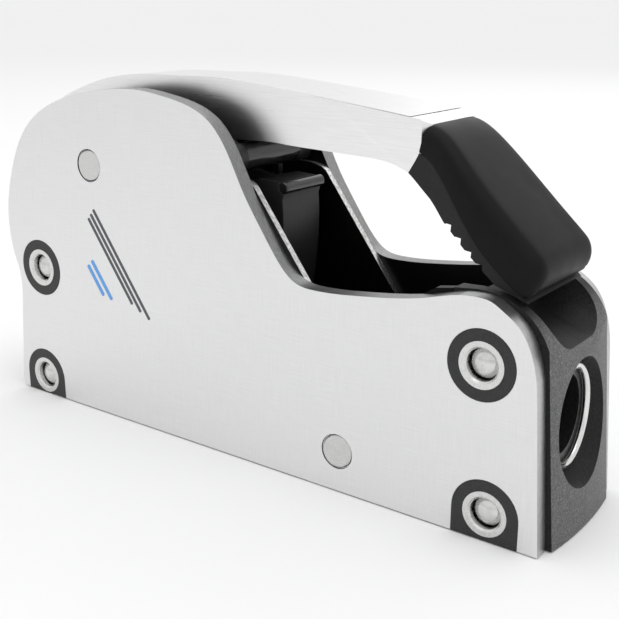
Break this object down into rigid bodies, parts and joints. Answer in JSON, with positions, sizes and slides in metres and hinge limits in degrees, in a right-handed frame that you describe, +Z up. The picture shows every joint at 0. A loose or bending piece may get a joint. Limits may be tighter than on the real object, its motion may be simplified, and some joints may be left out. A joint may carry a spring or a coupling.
{
  "type": "rope clutch",
  "caption": "Lever-operated rope clutch: aluminium side plates, moulded nose with a ringed rope hole, toothed cam and a long gripped lever.",
  "frame": {"origin": "on the deck face, under the middle of the body's bounding box", "axes": "+X towards the nose and the winch, +Z up from the deck, the XZ plane is the plane of symmetry"},
  "size_m": [0.1938, 0.0448, 0.1067],
  "materials": {
    "brushed_plate": "fine cross-brushed, clear anodised",
    "lever_alloy": "long-grain brushed, clear anodised",
    "polished_stainless": "polished",
    "turned_stainless": "turned",
    "moulded_black": "fine grained",
    "matte_black": "satin",
    "gloss_black": "glossy",
    "grip_rubber": "smooth satin rubber",
    "insert_rubber": "satin rubber, a little lighter"
  },
  "bodies": {
    "body": {"base_jaw": "matte_black", "base_jaw_insert": "turned_stainless", "cam_pin": "turned_stainless", "cam_spring": "turned_stainless", "cheek_rivets": "turned_stainless", "cross_sleeve": "gloss_black", "cross_tubes": "polished_stainless", "far_cheek": "turned_stainless", "far_corner_eyelets": "moulded_black", "far_round_eyelets": "moulded_black", "far_side_plate": "brushed_plate", "front_deck_block": "lever_alloy", "hub_spacers": "matte_black", "jaw_pin": "turned_stainless", "lever_pivot_pin": "turned_stainless", "near_cheek": "turned_stainless", "near_corner_eyelets": "moulded_black", "near_round_eyelets": "moulded_black", "near_side_plate": "brushed_plate", "nose_far_half": "moulded_black", "nose_near_half": "moulded_black", "nose_ring": "polished_stainless", "rear_deck_block": "lever_alloy", "sleeve_pin": "turned_stainless", "sleeve_spacers": "matte_black", "stop_pads": "grip_rubber", "tail_far_half": "moulded_black", "tail_near_half": "moulded_black", "tail_ring": "polished_stainless", "tie_rods": "polished_stainless"},
    "lever_arm": {"lever": "lever_alloy", "grip": "grip_rubber", "grip_insert": "insert_rubber", "link_pin": "turned_stainless", "link_pin_clips": "turned_stainless"},
    "cam_assembly": {"cam": "matte_black", "cam_shoe": "turned_stainless", "cam_top_bar": "gloss_black", "lift_pin": "turned_stainless", "lift_pin_clips": "turned_stainless"},
    "links": {"lift_links": "turned_stainless"}
  },
  "joints": [
    {"name": "lever_hinge", "type": "hinge", "parent": "body", "child": "lever_arm", "pos_m": [-0.0563, 0, 0.0795], "axis": [0, -1, 0], "range_deg": [0, 110]},
    {"name": "cam_hinge", "type": "hinge", "parent": "body", "child": "cam_assembly", "pos_m": [-0.0205, 0, 0.065], "axis": [0, -1, 0], "range_deg": [0, 8]},
    {"name": "link_hinge", "type": "hinge", "parent": "lever_arm", "child": "links", "pos_m": [-0.04852, 0, 0.08495], "axis": [0, -1, 0], "range_deg": [-110, 0]}
  ],
  "couplings": [
    {"joint": "cam_hinge", "follows": "lever_hinge", "ratio": 0.072727},
    {"joint": "link_hinge", "follows": "lever_hinge", "ratio": -1}
  ]
}
